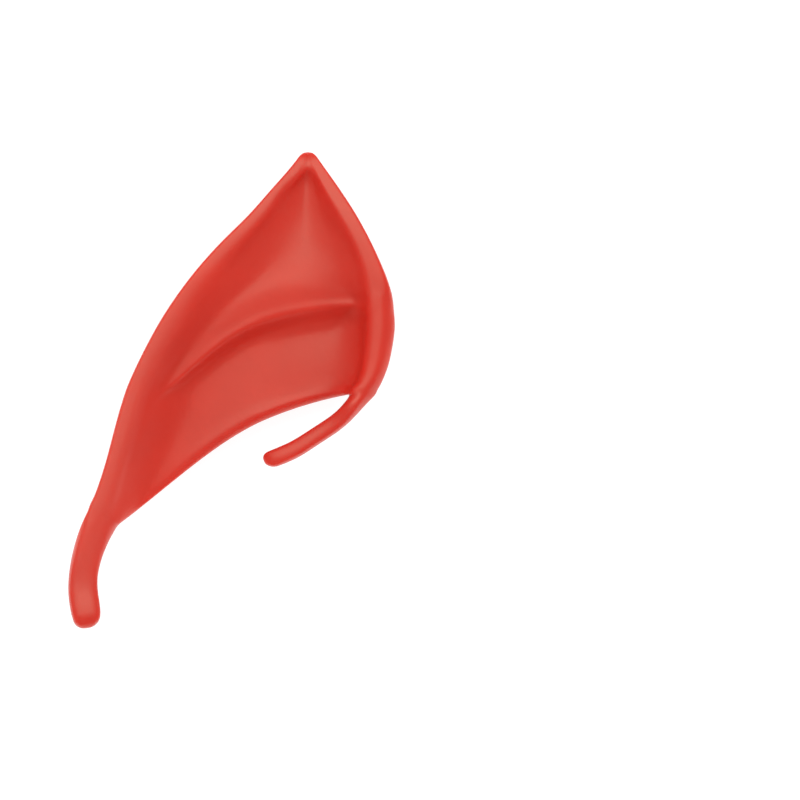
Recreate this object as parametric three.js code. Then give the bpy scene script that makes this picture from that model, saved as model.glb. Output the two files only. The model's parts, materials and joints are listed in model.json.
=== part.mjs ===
// Elf ear tip, a hollow soft moulding that slips over the top of an ear.
// It lies on its back: +Z up, the point towards +Y, the hooked front rim towards +X. Millimetres.
import * as THREE from "three";

// Overall size
const earLength = 120;
const earWidth = 82.4;
const earDepth = 22;

// Wall and pocket
const wall = 2;
const roofFactor = 1.15;
const pocketTopSection = 3.6;
const pocketDomeShare = 0.16;

// The tail's width and thickness, and the hook's
const tailWidth = 7.6;
const tailThickness = 6.2;
const hookWidth = 4.5;
const hookThickness = 4.5;

// How far the back wall's edge stands back from the front edge, in sections
const backRecess = 1.2;
const backRecessFrom = 10;

// Shape of the rounded back and of the two rods
const backSquareness = 2.8;
const rodSquareness = 5;
const rimShoulder = 0.04;
const outerCrestShare = 0.3;
const outerRoll = 4;
const tailBlendShare = 0.6;
const hookBlendShare = 0.42;
const seamAngle = 24;
const tipCapAngle = 62;

// Mesh steps across the front between its lines, across the back, and inside the pocket
const frontSteps = [3, 2, 3, 5, 7, 7, 4, 3, 2, 4];
const backSteps = 14;
const pocketSteps = 30;
const rodSteps = 13;
const rodCapSteps = 3;
const tailBackSteps = 2;
const hookBackSteps = 1;

// Plan of each section, per cent of the width and the length: the outer outline, the outer rim's inner edge,
// the wall below it, the middle, the front rim's inner edge and the front outline.
// steps is the number of mesh rows down to the section.
const plan = [
  { steps: 3, outlineX: 69.6, outlineY: 98.3, rimX: 71.6, rimY: 98.2, wallX: 72.2, wallY: 98.1,
    middleX: 73.1, middleY: 98.0, frontX: 74.6, frontY: 98.2, sideX: 76.5, sideY: 98.3 },
  { steps: 2, outlineX: 66.6, outlineY: 95.8, rimX: 70.0, rimY: 95.9, wallX: 71.3, wallY: 95.8,
    middleX: 72.9, middleY: 96.5, frontX: 75.8, frontY: 96.0, sideX: 79.1, sideY: 95.8 },
  { steps: 3, outlineX: 61.7, outlineY: 92.0, rimX: 64.8, rimY: 91.8, wallX: 67.2, wallY: 91.9,
    middleX: 72.5, middleY: 94.0, frontX: 78.7, frontY: 91.8, sideX: 83.0, sideY: 92.0 },
  { steps: 4, outlineX: 55.0, outlineY: 86.8, rimX: 59.6, rimY: 86.5, wallX: 62.2, wallY: 86.6,
    middleX: 72.2, middleY: 87.4, frontX: 82.9, frontY: 86.8, sideX: 87.9, sideY: 86.8 },
  { steps: 4, outlineX: 45.6, outlineY: 80.4, rimX: 51.4, rimY: 80.2, wallX: 54.8, wallY: 80.2,
    middleX: 71.6, middleY: 81.5, frontX: 87.8, frontY: 80.4, sideX: 92.9, sideY: 80.4 },
  { steps: 4, outlineX: 36.9, outlineY: 73.5, rimX: 43.1, rimY: 73.6, wallX: 48.2, wallY: 73.4,
    middleX: 67.5, middleY: 75.6, frontX: 91.0, frontY: 74.1, sideX: 97.1, sideY: 73.9 },
  { steps: 5, outlineX: 26.9, outlineY: 63.4, rimX: 32.2, rimY: 62.4, wallX: 37.0, wallY: 63.0,
    middleX: 61.5, middleY: 70.6, frontX: 91.7, frontY: 70.8, sideX: 98.7, sideY: 70.7 },
  { steps: 4, outlineX: 17.7, outlineY: 50.5, rimX: 22.2, rimY: 50.0, wallX: 26.4, wallY: 50.6,
    middleX: 56.9, middleY: 65.9, frontX: 91.9, frontY: 69.5, sideX: 99.2, sideY: 69.3 },
  { steps: 3, outlineX: 15.9, outlineY: 46.6, rimX: 20.2, rimY: 46.4, wallX: 25.0, wallY: 47.4,
    middleX: 55.4, middleY: 63.7, frontX: 91.9, frontY: 68.2, sideX: 99.5, sideY: 67.9 },
  { steps: 2, outlineX: 15.2, outlineY: 45.0, rimX: 19.6, rimY: 45.0, wallX: 24.5, wallY: 45.8,
    middleX: 55.6, middleY: 62.5, frontX: 91.9, frontY: 67.1, sideX: 99.6, sideY: 66.8 },
  { steps: 3, outlineX: 13.3, outlineY: 40.1, rimX: 17.9, rimY: 40.7, wallX: 22.6, wallY: 40.8,
    middleX: 55.9, middleY: 59.9, frontX: 91.7, frontY: 63.8, sideX: 100, sideY: 63.4 },
  { steps: 4, outlineX: 11.0, outlineY: 34.2, rimX: 15.2, rimY: 34.2, wallX: 19.6, wallY: 34.6,
    middleX: 56.3, middleY: 52.3, frontX: 90.5, frontY: 55.6, sideX: 98.3, sideY: 56.0 },
  { steps: 4, outlineX: 7.8, outlineY: 27.8, rimX: 12.2, rimY: 26.8, wallX: 16.6, wallY: 26.8,
    middleX: 56.3, middleY: 46.0, frontX: 88.4, frontY: 51.4, sideX: 95.6, sideY: 51.2 },
  { steps: 2, outlineX: 6.6, outlineY: 26.2, rimX: 11.0, rimY: 24.8, wallX: 16.1, wallY: 24.0,
    middleX: 55.6, middleY: 44.0, frontX: 86.9, frontY: 50.4, sideX: 94.6, sideY: 50.0 },
  { steps: 3, outlineX: 5.8, outlineY: 24.6, rimX: 9.4, rimY: 23.4, wallX: 15.2, wallY: 21.7,
    middleX: 55.4, middleY: 42.2, frontX: 85.9, frontY: 49.0, sideX: 93.9, sideY: 48.9 },
];

// Heights of each section, per cent of the depth, from the outer outline to the front outline: the side,
// the rim, the wall below it, the wall's foot, the middle, the front wall's foot, that wall, the rim and
// the side; back is the lowest point of the back, and a level below zero is pressed flat on the floor.
// footShare runs from the wall to the middle, farShare and lowShare from the front rim to the middle,
// crest is the place of the front rim's top and roll how square its outer side is.
const relief = [
  { outer: 73, rim: 80, wall: 79.9, foot: 79.7, middle: 79.5, far: 79.7, low: 79.9, front: 80,
    side: 73, back: 43.5, footShare: 0.5, farShare: 0.5, lowShare: 0.25, crest: 0.65, roll: 5 },
  { outer: 76, rim: 82.5, wall: 81.5, foot: 81, middle: 80.8, far: 81, low: 81.5, front: 82,
    side: 76, back: 37, footShare: 0.6, farShare: 0.6, lowShare: 0.3, crest: 0.65, roll: 5 },
  { outer: 79.5, rim: 86, wall: 81.5, foot: 74.5, middle: 72.2, far: 74.5, low: 81.5, front: 86,
    side: 79.5, back: 28.5, footShare: 0.64, farShare: 0.62, lowShare: 0.3, crest: 0.65, roll: 5 },
  { outer: 84, rim: 90.5, wall: 84, foot: 75, middle: 73, far: 76, low: 83.5, front: 91,
    side: 84.5, back: 16.5, footShare: 0.66, farShare: 0.6, lowShare: 0.28, crest: 0.65, roll: 5 },
  { outer: 88, rim: 94.3, wall: 86.5, foot: 76.5, middle: 75, far: 79.5, low: 86.5, front: 95,
    side: 88.5, back: 6.5, footShare: 0.66, farShare: 0.56, lowShare: 0.22, crest: 0.62, roll: 5 },
  { outer: 90, rim: 96.8, wall: 87.5, foot: 77.7, middle: 77.5, far: 80.5, low: 88, front: 97.3,
    side: 89.5, back: 0, footShare: 0.6, farShare: 0.44, lowShare: 0.17, crest: 0.58, roll: 4 },
  { outer: 90, rim: 97.8, wall: 87.5, foot: 78.5, middle: 79, far: 79, low: 87, front: 97.9,
    side: 88, back: -3.5, footShare: 0.38, farShare: 0.3, lowShare: 0.13, crest: 0.5, roll: 2.4 },
  { outer: 90.5, rim: 98.3, wall: 86.5, foot: 78, middle: 78, far: 78, low: 86, front: 98.3,
    side: 87, back: -5.5, footShare: 0.2, farShare: 0.2, lowShare: 0.1, crest: 0.46, roll: 1.6 },
  { outer: 90.5, rim: 98.5, wall: 86.5, foot: 78, middle: 78.4, far: 78.4, low: 86, front: 98.5,
    side: 86.5, back: -5.5, footShare: 0.18, farShare: 0.18, lowShare: 0.08, crest: 0.46, roll: 1.4 },
  { outer: 90.5, rim: 98.6, wall: 86.5, foot: 71, middle: 71, far: 72, low: 81, front: 98.7,
    side: 86.5, back: -5.5, footShare: 0.26, farShare: 0.24, lowShare: 0.11, crest: 0.46, roll: 1.35 },
  { outer: 91, rim: 99, wall: 86, foot: 60, middle: 55.8, far: 59.3, low: 71, front: 99.3,
    side: 86, back: -5.5, footShare: 0.48, farShare: 0.36, lowShare: 0.1, crest: 0.46, roll: 1.35 },
  { outer: 91, rim: 99.2, wall: 86, foot: 61.5, middle: 57, far: 60, low: 73, front: 100.2,
    side: 86, back: -4.5, footShare: 0.4, farShare: 0.56, lowShare: 0.09, crest: 0.46, roll: 1.35 },
  { outer: 91, rim: 99.4, wall: 85, foot: 65, middle: 58.2, far: 60.8, low: 74, front: 101,
    side: 85.5, back: -2, footShare: 0.26, farShare: 0.56, lowShare: 0.085, crest: 0.46, roll: 1.35 },
  { outer: 91, rim: 99.5, wall: 84.5, foot: 66, middle: 59.5, far: 62, low: 75.5, front: 101.2,
    side: 85, back: -1, footShare: 0.21, farShare: 0.5, lowShare: 0.085, crest: 0.46, roll: 1.35 },
  { outer: 90.5, rim: 99.5, wall: 83, foot: 66.5, middle: 52.5, far: 57, low: 72, front: 100.8,
    side: 84, back: 0, footShare: 0.17, farShare: 0.36, lowShare: 0.085, crest: 0.46, roll: 1.35 },
];

// Tip of the ear, and the stations of the rods that leave the mouth: per cent of width, length and depth.
// width and thick are per cent of the rod's own sizes, and lean the degrees by which its inner side hangs.
const tip = { x: 73.1, y: 100, z: 72 };
const tail = [
  { x: 10.6, y: 23.0, z: 72.5, width: 117, thick: 177, lean: 0 },
  { x: 8.2, y: 20.1, z: 74.5, width: 112, thick: 155, lean: 1 },
  { x: 6.0, y: 16.3, z: 77, width: 101, thick: 129, lean: 3 },
  { x: 4.5, y: 11.7, z: 79.5, width: 97, thick: 110, lean: 3 },
  { x: 4.3, y: 7.9, z: 81.5, width: 100, thick: 100, lean: 3 },
  { x: 5.0, y: 4.5, z: 84, width: 101, thick: 97, lean: 3 },
  { x: 5.5, y: 2.4, z: 85.5, width: 95, thick: 94, lean: 3 },
];
const tailEnd = { x: 5.7, y: 0, z: 86 };
const hook = [
  { x: 90.1, y: 48.9, z: 80.5, width: 138, thick: 180, lean: 0 },
  { x: 86.8, y: 46.1, z: 85, width: 102, thick: 133, lean: 4 },
  { x: 82.7, y: 43.5, z: 86, width: 95, thick: 111, lean: 8 },
  { x: 75.4, y: 40.2, z: 86, width: 93, thick: 102, lean: 10 },
  { x: 69.3, y: 37.5, z: 85.5, width: 96, thick: 102, lean: 10 },
  { x: 64.7, y: 36.1, z: 84.5, width: 98, thick: 102, lean: 8 },
  { x: 62.4, y: 35.5, z: 83.5, width: 97, thick: 100, lean: 6 },
];
const hookEnd = { x: 59.5, y: 35.1, z: 81.5 };

const toX = (share) => (share / 100 - 0.5) * earWidth;
const toY = (share) => (share / 100 - 0.5) * earLength;
const toZ = (share) => (share / 100) * earDepth;
const mix = (a, b, t) => a + (b - a) * t;
const ease = (t) => t * t * (3 - 2 * t);
const signedPower = (value, power) => Math.sign(value) * Math.abs(value) ** power;

// Smooth curve through stations that never overshoots between them
function through(xs, ys, x) {
  const last = xs.length - 1;
  let k = 0;
  while (k < last - 1 && x > xs[k + 1]) k += 1;
  const step = (i) => Math.max(xs[i + 1] - xs[i], 1e-9);
  const rise = (i) => (ys[i + 1] - ys[i]) / step(i);
  const slope = (i) => {
    if (i === 0) return rise(0);
    if (i === last) return rise(last - 1);
    const before = rise(i - 1);
    const after = rise(i);
    if (before * after <= 0) return 0;
    const first = 2 * step(i) + step(i - 1);
    const second = step(i) + 2 * step(i - 1);
    return (first + second) / (first / before + second / after);
  };
  const h = step(k);
  const t = Math.min(Math.max((x - xs[k]) / h, 0), 1);
  const a = (1 + 2 * t) * (1 - t) ** 2;
  const b = t * (1 - t) ** 2;
  const c = t * t * (3 - 2 * t);
  const d = t * t * (t - 1);
  return a * ys[k] + b * h * slope(k) + c * ys[k + 1] + d * h * slope(k + 1);
}

// One value of a table at a fractional row
function valueAt(table, column, row) {
  const rows = table.map((entry, i) => i);
  const values = table.map((entry) => entry[column]);
  return through(rows, values, row);
}

// Everything about the section at v, where v = 1 is the first row of the tables
function sectionAt(v) {
  const row = v - 1;
  const point = (name) =>
    new THREE.Vector3(toX(valueAt(plan, name + "X", row)), toY(valueAt(plan, name + "Y", row)), 0);
  const rails = ["outline", "rim", "wall", "middle", "front", "side"].map(point);
  const level = (name) => toZ(valueAt(relief, name, row));
  const share = (name) => valueAt(relief, name, row);
  const z = {};
  for (const name of ["outer", "rim", "wall", "foot", "middle", "far", "low", "front", "side", "back"])
    z[name] = level(name);
  return {
    rails,
    z,
    footShare: share("footShare"),
    farShare: share("farShare"),
    lowShare: share("lowShare"),
    crest: share("crest"),
    roll: share("roll"),
    floor: 0,
    shoulder: rimShoulder,
  };
}

// The same section one wall further in: solid rims, and a roof that follows the hollow
function pocketSection(v) {
  const section = sectionAt(v);
  const [outline, rim, , , front, side] = section.rails;
  const inward = (from, towards) => towards.clone().sub(from).setLength(wall);
  outline.add(inward(outline, rim));
  side.add(inward(side, front));
  const z = section.z;
  z.wall = Math.min(z.wall, z.foot);
  z.low = Math.min(z.low, z.far);
  for (const name of ["wall", "foot", "middle", "far", "low"]) z[name] -= wall * roofFactor;
  z.rim = z.wall;
  z.front = z.low;
  z.outer = Math.min(z.outer, z.rim);
  z.side = Math.min(z.side, z.front);
  z.back = Math.max(z.back, 0) + wall;
  section.floor = wall;
  section.shoulder = 0;
  return section;
}

// Points across the front of a section, from the outer outline to the front outline
function frontPoints(section) {
  const { rails, z, shoulder } = section;
  const rimRun = new THREE.CatmullRomCurve3(rails.slice(0, 3), false, "centripetal");
  const bowlRun = new THREE.CatmullRomCurve3(rails.slice(2), false, "centripetal");
  const at = (u) => (u <= 2 ? rimRun.getPoint(Math.max(u, 0) / 2) : bowlRun.getPoint(Math.min(u - 2, 3) / 3));
  const lines = [
    { u: 0, z: z.outer },
    { u: outerCrestShare, z: z.rim },
    { u: 1, z: z.rim - (z.rim - z.wall) * shoulder },
    { u: 2, z: z.wall },
    { u: 2 + section.footShare, z: z.foot },
    { u: 3, z: z.middle },
    { u: 4 - section.farShare, z: z.far },
    { u: 4 - section.lowShare, z: z.low },
    { u: 4, z: z.front - (z.front - z.low) * shoulder },
    { u: 4 + section.crest, z: z.front },
    { u: 5, z: z.side },
  ];
  const middle = lines.slice(1, -1);
  const run = [0];
  for (let i = 1; i < middle.length; i += 1)
    run.push(run[i - 1] + at(middle[i].u).distanceTo(at(middle[i - 1].u)));
  const heights = middle.map((line) => line.z);
  const points = [];
  const add = (u, height) => {
    const p = at(u);
    points.push(new THREE.Vector3(p.x, p.y, height));
  };
  for (let k = 0; k < lines.length - 1; k += 1) {
    for (let i = 0; i < frontSteps[k]; i += 1) {
      const t = i / frontSteps[k];
      const here = lines[k];
      const next = lines[k + 1];
      if (k === 0) {
        const angle = ((1 - t) * Math.PI) / 2;
        const power = 2 / outerRoll;
        add(mix(next.u, here.u, Math.sin(angle) ** power), mix(here.z, next.z, Math.cos(angle) ** power));
      } else if (k === lines.length - 2) {
        const angle = (t * Math.PI) / 2;
        const power = 2 / section.roll;
        add(mix(here.u, next.u, Math.sin(angle) ** power), mix(next.z, here.z, Math.cos(angle) ** power));
      } else {
        add(mix(here.u, next.u, t), through(run, heights, mix(run[k - 1], run[k], t)));
      }
    }
  }
  return points;
}

// One point of the rounded back, share 0 at the front outline and 1 at the outer outline
function backPoint(section, angle) {
  const { rails, z, floor } = section;
  const [outline, , , middle, , side] = rails;
  const share = (1 - signedPower(Math.cos(angle), 2 / backSquareness)) / 2;
  const depth = Math.abs(Math.sin(angle)) ** (2 / backSquareness);
  const bow = 4 * share * (1 - share);
  const x = mix(side.x, outline.x, share) + (middle.x - (side.x + outline.x) / 2) * bow;
  const y = mix(side.y, outline.y, share) + (middle.y - (side.y + outline.y) / 2) * bow;
  const edge = mix(z.side, z.outer, share);
  return new THREE.Vector3(x, y, Math.max(floor, mix(edge, z.back, depth)));
}

// A closed loop of points round the section at v: across the front, then back underneath
function loopAt(v, makeSection) {
  const loop = frontPoints(makeSection(v));
  const late = ease(Math.min(Math.max((v - backRecessFrom) / (plan.length - backRecessFrom), 0), 1));
  for (let i = 0; i < backSteps; i += 1) {
    const angle = (Math.PI * i) / backSteps;
    const recess = backRecess * late * Math.sin(angle) ** 2;
    loop.push(backPoint(makeSection(v - recess), angle));
  }
  return loop;
}

const middleOf = (loop) =>
  loop.reduce((sum, p) => sum.add(p), new THREE.Vector3()).divideScalar(loop.length);

// Loops of the outside, from the rounded tip to the mouth
function outsideLoops() {
  const pole = new THREE.Vector3(toX(tip.x), toY(tip.y), toZ(tip.z));
  const first = loopAt(1, sectionAt);
  const centre = middleOf(first);
  const full = THREE.MathUtils.degToRad(tipCapAngle);
  const loops = [];
  for (let i = 1; i < plan[0].steps; i += 1) {
    const angle = (full * i) / plan[0].steps;
    const along = (1 - Math.cos(angle)) / (1 - Math.cos(full));
    const out = Math.sin(angle) / Math.sin(full);
    const ring = pole.clone().lerp(centre, along);
    loops.push(first.map((p) => p.clone().sub(centre).multiplyScalar(out).add(ring)));
  }
  loops.push(first);
  for (let k = 1; k < plan.length; k += 1)
    for (let i = 1; i <= plan[k].steps; i += 1)
      loops.push(loopAt(k + i / plan[k].steps, sectionAt));
  return { pole, loops };
}

// Loops of the pocket, from its domed end to the mouth
function pocketLoops() {
  const pole = middleOf(loopAt(pocketTopSection, pocketSection));
  const loops = [];
  for (let i = 1; i <= pocketSteps; i += 1) {
    const t = i / pocketSteps;
    const loop = loopAt(mix(pocketTopSection, plan.length, t), pocketSection);
    const part = Math.min(t / pocketDomeShare, 1);
    const size = Math.sqrt(part * (2 - part));
    const centre = middleOf(loop);
    loops.push(loop.map((p) => p.clone().sub(centre).multiplyScalar(size).add(centre)));
  }
  return { pole, loops };
}

const placed = (entry) => new THREE.Vector3(toX(entry.x), toY(entry.y), toZ(entry.z));

// Loops of a solid rod that grows out of a loop of the mouth's corner; turn is the way round the loop runs
function rodLoops(start, rod) {
  const { table, end, turn } = rod;
  const curve = new THREE.CatmullRomCurve3(table.map(placed), false, "centripetal");
  const frameAt = (t) => {
    const along = curve.getTangent(t);
    const inner = new THREE.Vector3(along.y, -along.x, 0).normalize().multiplyScalar(turn);
    const up = new THREE.Vector3().crossVectors(inner, along).normalize();
    if (up.z < 0) up.negate();
    return { origin: curve.getPoint(t), along, inner, up };
  };
  const first = frameAt(0);
  const local = start.map((p) => {
    const d = p.clone().sub(first.origin);
    return { a: d.dot(first.inner), b: d.dot(first.up), c: d.dot(first.along) };
  });
  const half = start.length / 2;
  const inside = seamAngle * (1 - 2 / half);
  const angles = start.map((p, i) => {
    const degrees =
      i < half
        ? mix(seamAngle, 360 - seamAngle, i / (half - 1))
        : mix(360 - inside, 360 + inside, (i - half) / (half - 1));
    return THREE.MathUtils.degToRad(turn * degrees);
  });
  const ring = (t, size, shift) => {
    const frame = frameAt(t);
    const row = t * (table.length - 1);
    const width = rod.width * (valueAt(table, "width", row) / 100) * size;
    const thick = rod.thickness * (valueAt(table, "thick", row) / 100) * size;
    const blend = ease(Math.min(t / rod.blendShare, 1));
    const lean = THREE.MathUtils.degToRad(valueAt(table, "lean", row));
    return start.map((p, i) => {
      const across = (width / 2) * signedPower(Math.cos(angles[i]), 2 / rodSquareness);
      const high = (thick / 2) * signedPower(Math.sin(angles[i]), 2 / rodSquareness);
      const round = {
        a: across * Math.cos(lean) + high * Math.sin(lean),
        b: high * Math.cos(lean) - across * Math.sin(lean),
      };
      const point = frame.origin
        .clone()
        .addScaledVector(frame.inner, mix(local[i].a, round.a, blend))
        .addScaledVector(frame.up, mix(local[i].b, round.b, blend))
        .addScaledVector(frame.along, local[i].c * (1 - blend))
        .add(shift);
      point.z = Math.max(point.z, 0);
      return point;
    });
  };
  const loops = [];
  const none = new THREE.Vector3();
  for (let i = 1; i <= rodSteps; i += 1) loops.push(ring(i / rodSteps, 1, none));
  const pole = placed(end);
  const reach = pole.clone().sub(curve.getPoint(1));
  for (let i = 1; i <= rodCapSteps; i += 1) {
    const angle = ((Math.PI / 2) * i) / (rodCapSteps + 1);
    loops.push(ring(1, Math.cos(angle), reach.clone().multiplyScalar(Math.sin(angle))));
  }
  return { pole, loops };
}

// Collects points and faces; a band joins two loops, a fan closes one on a point
function surfaceMaker() {
  const positions = [];
  const faces = [];
  const addPoint = (p) => positions.push(p.x, p.y, p.z) / 3 - 1;
  const quad = (a, b, c, d) => faces.push(a, b, c, a, c, d);
  return {
    positions,
    faces,
    addPoint,
    addLoop: (loop) => loop.map(addPoint),
    band: (upper, lower, outward, skip = () => false) =>
      upper.forEach((a, i) => {
        const j = (i + 1) % upper.length;
        if (skip(i)) return;
        if (outward) quad(a, lower[i], lower[j], upper[j]);
        else quad(a, upper[j], lower[j], lower[i]);
      }),
    fan: (pole, loop, outward) =>
      loop.forEach((a, i) => {
        const b = loop[(i + 1) % loop.length];
        if (outward) faces.push(pole, a, b);
        else faces.push(pole, b, a);
      }),
  };
}

function earGeometry() {
  const surface = surfaceMaker();
  const outside = outsideLoops();
  const pocket = pocketLoops();
  const skins = [
    { made: outside, outward: true },
    { made: pocket, outward: false },
  ];
  const [outer, inner] = skins.map(({ made, outward }) => {
    const loops = made.loops.map(surface.addLoop);
    surface.fan(surface.addPoint(made.pole), loops[0], outward);
    for (let i = 1; i < loops.length; i += 1) surface.band(loops[i - 1], loops[i], outward);
    return loops[loops.length - 1];
  });
  const count = outer.length;
  const lineAt = (k) => frontSteps.slice(0, k).reduce((sum, n) => sum + n, 0);
  const tailFrom = count - tailBackSteps;
  const tailTo = lineAt(3);
  const hookFrom = lineAt(8);
  const hookTo = lineAt(10) + hookBackSteps;
  surface.band(outer, inner, true, (i) => i >= tailFrom || i < tailTo || (i >= hookFrom && i < hookTo));

  const outerLast = outside.loops[outside.loops.length - 1];
  const innerLast = pocket.loops[pocket.loops.length - 1];
  const addRod = (from, to, rod) => {
    const columns = [];
    for (let i = from; i <= to; i += 1) columns.push(i % count);
    const back = columns.slice().reverse();
    const ids = [...columns.map((i) => outer[i]), ...back.map((i) => inner[i])];
    const points = [...columns.map((i) => outerLast[i]), ...back.map((i) => innerLast[i])];
    const made = rodLoops(points, rod);
    const loops = [ids, ...made.loops.map(surface.addLoop)];
    for (let i = 1; i < loops.length; i += 1) surface.band(loops[i - 1], loops[i], true);
    surface.fan(surface.addPoint(made.pole), loops[loops.length - 1].slice().reverse(), true);
  };
  const tailRod = { table: tail, end: tailEnd, width: tailWidth, thickness: tailThickness };
  const hookRod = { table: hook, end: hookEnd, width: hookWidth, thickness: hookThickness };
  addRod(tailFrom, tailTo + count, { ...tailRod, turn: -1, blendShare: tailBlendShare });
  addRod(hookFrom, hookTo, { ...hookRod, turn: 1, blendShare: hookBlendShare });

  const geometry = new THREE.BufferGeometry();
  geometry.setAttribute("position", new THREE.Float32BufferAttribute(surface.positions, 3));
  geometry.setIndex(surface.faces);
  geometry.computeVertexNormals();
  return geometry;
}

function redLatex() {
  return new THREE.MeshStandardMaterial({ color: 0xd2483a, roughness: 0.5, metalness: 0 });
}

function earTip() {
  const mesh = new THREE.Mesh(earGeometry(), redLatex());
  mesh.name = "ear_tip";
  return mesh;
}

const group = new THREE.Group();
group.add(earTip());

export default group;
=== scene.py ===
import json
import math

import bpy
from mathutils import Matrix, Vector

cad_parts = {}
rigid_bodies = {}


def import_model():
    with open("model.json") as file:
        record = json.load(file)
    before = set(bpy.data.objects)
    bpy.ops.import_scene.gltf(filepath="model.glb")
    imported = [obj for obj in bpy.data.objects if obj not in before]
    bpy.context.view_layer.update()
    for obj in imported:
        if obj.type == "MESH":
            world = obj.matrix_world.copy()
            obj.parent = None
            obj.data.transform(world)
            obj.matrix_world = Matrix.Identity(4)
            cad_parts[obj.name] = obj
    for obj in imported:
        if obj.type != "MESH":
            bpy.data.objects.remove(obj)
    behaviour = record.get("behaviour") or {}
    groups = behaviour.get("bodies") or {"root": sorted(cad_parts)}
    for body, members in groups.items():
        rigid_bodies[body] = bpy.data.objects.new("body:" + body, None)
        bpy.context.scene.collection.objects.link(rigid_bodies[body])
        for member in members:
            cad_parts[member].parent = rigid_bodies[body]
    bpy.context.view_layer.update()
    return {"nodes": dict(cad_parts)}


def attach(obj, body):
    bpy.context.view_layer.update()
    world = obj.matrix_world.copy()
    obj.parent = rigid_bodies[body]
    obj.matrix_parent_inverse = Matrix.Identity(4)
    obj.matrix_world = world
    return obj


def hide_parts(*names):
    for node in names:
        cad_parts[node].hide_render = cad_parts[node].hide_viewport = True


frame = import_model()
print("stage: frame loaded")

# one moulded ear, worked up from a merged copy of its node
earLook = {
    "mergeAt": 0.000002,  # corners closer than this are one corner
    "flatAngle": 60,  # degrees; pairs of triangles flatter than this are joined
    "squareAngle": 100,
    "subdivision": 2,
    "smoothTurns": 1,  # soft rubber keeps no hard facets
    "smoothFactor": 0.25,
}


def onlySelect(piece):
    bpy.ops.object.select_all(action="DESELECT")
    piece.select_set(True)
    bpy.context.view_layer.objects.active = piece


def makeEar(look):
    node = frame["nodes"]["ear_tip"]
    onlySelect(node)
    bpy.ops.object.duplicate()
    ear = bpy.context.view_layer.objects.active
    ear.name = "latexEar"
    bpy.ops.object.parent_clear(type="CLEAR_KEEP_TRANSFORM")
    bpy.ops.object.mode_set(mode="EDIT")
    bpy.ops.mesh.select_all(action="SELECT")
    bpy.ops.mesh.remove_doubles(threshold=look["mergeAt"])
    flat = math.radians(look["flatAngle"])
    square = math.radians(look["squareAngle"])
    bpy.ops.mesh.tris_convert_to_quads(face_threshold=flat, shape_threshold=square)
    bpy.ops.mesh.vertices_smooth(factor=look["smoothFactor"], repeat=look["smoothTurns"])
    bpy.ops.object.mode_set(mode="OBJECT")
    ear.modifiers.clear()
    finer = ear.modifiers.new("finer", "SUBSURF")
    finer.levels = look["subdivision"]
    finer.render_levels = look["subdivision"]
    bpy.ops.object.modifier_apply(modifier="finer")
    bpy.ops.object.shade_smooth()
    print("stage: ear has", len(ear.data.polygons), "faces")
    return ear


latexLook = {
    "colour": (0.66, 0.026, 0.015, 1.0),
    "roughness": 0.39,
    "specular": 0.8,
    "shine": (0.85, 0.9, 0.68, 1.0),
    "scatter": 0.6,
    "scatterRadius": (1.0, 0.22, 0.14),
    "scatterDepth": 0.003,  # metres
    "grainSize": 900.0,
    "grainDetail": 3,
    "grainDepth": 0.00004,
    "grainStrength": 0.5,
    "mottleSize": 55.0,
    "mottleDetail": 4,
    # where the mottle turns dark and light, and what it does there to red and to green and blue
    "mottleDark": {"at": 0.3, "red": 0.95, "rest": 0.88},
    "mottleLight": {"at": 0.7, "red": 1.04, "rest": 1.12},
    # painted sheen: the top of the outer rim and the tail are tinted lighter and whiter, a painted
    # highlight where the softbox's shine falls;
    # along each axis it grows from nothing at the first place, in metres, to its most at the second
    "paintedSheenColour": (0.72, 0.2, 0.15, 1.0),
    "paintedSheenMost": 0.16,
    "paintedSheenReach": {"X": (-0.008, -0.022), "Y": (-0.058, -0.048), "Z": (0.0195, 0.0212)},
}


# paints a lighter, whiter tint into the base colour on the high outer rim and the tail: a painted sheen
# standing in for a highlight
def addPaintedSheen(look, nodes, links, place, tone):
    axes = nodes.new("ShaderNodeSeparateXYZ")
    links.new(place.outputs["Object"], axes.inputs["Vector"])
    sheenPainted = nodes.new("ShaderNodeMixRGB")
    sheenPainted.inputs["Color2"].default_value = look["paintedSheenColour"]
    links.new(tone.outputs["Color"], sheenPainted.inputs["Color1"])
    share = None
    for axis, (start, end) in look["paintedSheenReach"].items():
        reach = nodes.new("ShaderNodeMapRange")
        reach.inputs["From Min"].default_value = start
        reach.inputs["From Max"].default_value = end
        links.new(axes.outputs[axis], reach.inputs["Value"])
        if share is None:
            reach.inputs["To Max"].default_value = look["paintedSheenMost"]
        else:
            links.new(share, reach.inputs["To Max"])
        share = reach.outputs["Result"]
    links.new(share, sheenPainted.inputs["Fac"])
    return sheenPainted.outputs["Color"]


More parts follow.
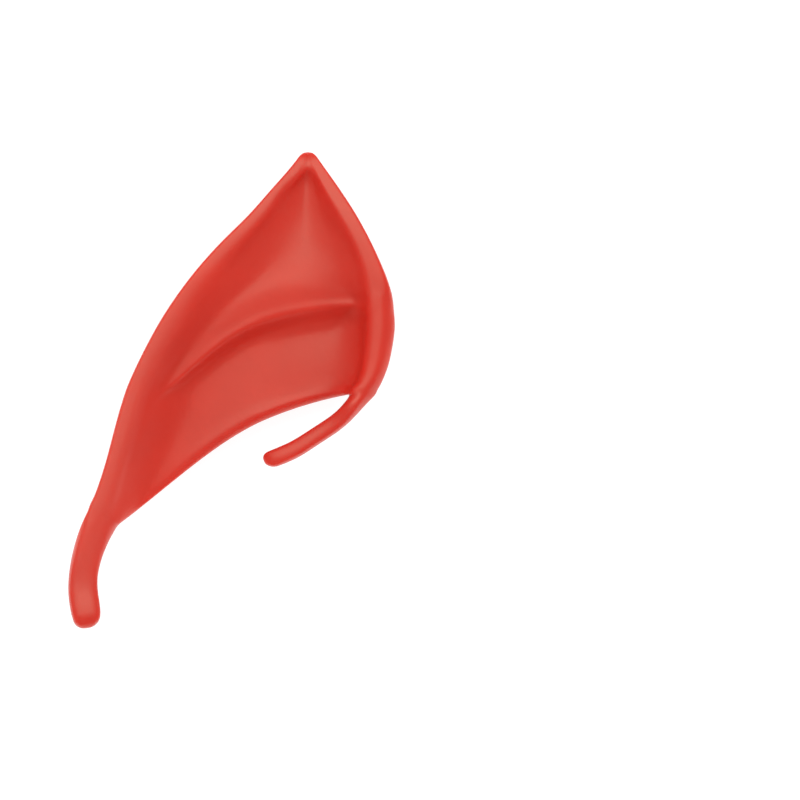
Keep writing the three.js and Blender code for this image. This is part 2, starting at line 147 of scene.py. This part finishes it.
def makeLatex(look):
    latex = bpy.data.materials.new("redLatex")
    latex.use_nodes = True
    nodes = latex.node_tree.nodes
    links = latex.node_tree.links
    shader = nodes["Principled BSDF"]
    place = nodes.new("ShaderNodeTexCoord")
    mottle = nodes.new("ShaderNodeTexNoise")
    mottle.inputs["Scale"].default_value = look["mottleSize"]
    mottle.inputs["Detail"].default_value = look["mottleDetail"]
    links.new(place.outputs["Object"], mottle.inputs["Vector"])
    tone = nodes.new("ShaderNodeValToRGB")
    red, green, blue, solid = look["colour"]
    for stop, shift in zip(tone.color_ramp.elements, (look["mottleDark"], look["mottleLight"])):
        stop.position = shift["at"]
        stop.color = (red * shift["red"], green * shift["rest"], blue * shift["rest"], solid)
    links.new(mottle.outputs["Fac"], tone.inputs["Fac"])
    # base colour: the random mottle, plus the painted sheen on the outer rim and the tail
    links.new(addPaintedSheen(look, nodes, links, place, tone), shader.inputs["Base Color"])
    grain = nodes.new("ShaderNodeTexNoise")
    grain.inputs["Scale"].default_value = look["grainSize"]
    grain.inputs["Detail"].default_value = look["grainDetail"]
    links.new(place.outputs["Object"], grain.inputs["Vector"])
    bump = nodes.new("ShaderNodeBump")
    bump.inputs["Strength"].default_value = look["grainStrength"]
    bump.inputs["Distance"].default_value = look["grainDepth"]
    links.new(grain.outputs["Fac"], bump.inputs["Height"])
    links.new(bump.outputs["Normal"], shader.inputs["Normal"])
    shader.inputs["Roughness"].default_value = look["roughness"]
    shader.inputs["Specular IOR Level"].default_value = look["specular"]
    shader.inputs["Specular Tint"].default_value = look["shine"]
    shader.inputs["Subsurface Weight"].default_value = look["scatter"]
    shader.inputs["Subsurface Radius"].default_value = look["scatterRadius"]
    shader.inputs["Subsurface Scale"].default_value = look["scatterDepth"]
    return latex


ear = makeEar(earLook)
latex = makeLatex(latexLook)
ear.data.materials.clear()
ear.data.materials.append(latex)
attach(ear, "root")
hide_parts("ear_tip")
print("stage: ear dressed")

studio = {
    "floorSize": 6.0,
    "floorColour": (0.3, 0.3, 0.3, 1.0),
    "floorRoughness": 0.9,
    "floorShine": 0.2,
    "floorGlow": 0.85,  # a light table, which leaves no shadow round the ear
    "aim": (0.0, 0.0, 0.01),
    # the big softbox hangs past the point of the ear, so that what faces the point is the lightest
    "overhead": {"place": (-0.15, 1.4, 3.15), "width": 2.1, "depth": 2.0, "power": 38.0},
    "roomLight": 0.88,  # a matt white tent all round, which gives light and no shine
}


def makeFloor(look):
    bpy.ops.object.select_all(action="DESELECT")
    bpy.ops.mesh.primitive_plane_add(size=look["floorSize"], location=(0, 0, 0))
    floor = bpy.context.view_layer.objects.active
    floor.name = "paleFloor"
    paint = bpy.data.materials.new("paleFloorPaint")
    paint.use_nodes = True
    shader = paint.node_tree.nodes["Principled BSDF"]
    shader.inputs["Base Color"].default_value = look["floorColour"]
    shader.inputs["Emission Color"].default_value = (1, 1, 1, 1)
    shader.inputs["Emission Strength"].default_value = look["floorGlow"]
    shader.inputs["Roughness"].default_value = look["floorRoughness"]
    shader.inputs["Specular IOR Level"].default_value = look["floorShine"]
    floor.data.materials.append(paint)


def makeSoftbox(name, look, aim):
    bpy.ops.object.light_add(type="AREA", location=look["place"])
    softbox = bpy.context.view_layer.objects.active
    softbox.name = name
    softbox.data.shape = "RECTANGLE"
    softbox.data.size = look["width"]
    softbox.data.size_y = look["depth"]
    softbox.data.energy = look["power"]
    towards = Vector(aim) - Vector(look["place"])
    softbox.rotation_euler = towards.to_track_quat("-Z", "Y").to_euler()


def makeStudio(look):
    makeFloor(look)
    makeSoftbox("overheadSoftbox", look["overhead"], look["aim"])
    room = bpy.data.worlds.new("paleRoom")
    room.use_nodes = True
    room.node_tree.nodes["Background"].inputs["Color"].default_value = (1, 1, 1, 1)
    room.node_tree.nodes["Background"].inputs["Strength"].default_value = look["roomLight"]
    bpy.context.scene.world = room
    room.cycles_visibility.glossy = False
    print("stage: studio lit")


cameraLook = {
    "centre": (0.0422, -0.0025),
    "height": 3.0,
    "across": 0.2017,  # metres seen across the frame
    "focusPlane": 0.012,
    "farthest": 20,
}


def makeCamera(look):
    across, along = look["centre"]
    bpy.ops.object.camera_add(location=(across, along, look["height"]), rotation=(0, 0, 0))
    camera = bpy.context.view_layer.objects.active
    camera.name = "topCamera"
    camera.data.lens = camera.data.sensor_width * (look["height"] - look["focusPlane"]) / look["across"]
    camera.data.clip_end = look["farthest"]
    bpy.context.scene.camera = camera


makeStudio(studio)
makeCamera(cameraLook)
bpy.context.scene.view_settings.view_transform = "Standard"
bpy.context.scene.view_settings.look = "None"
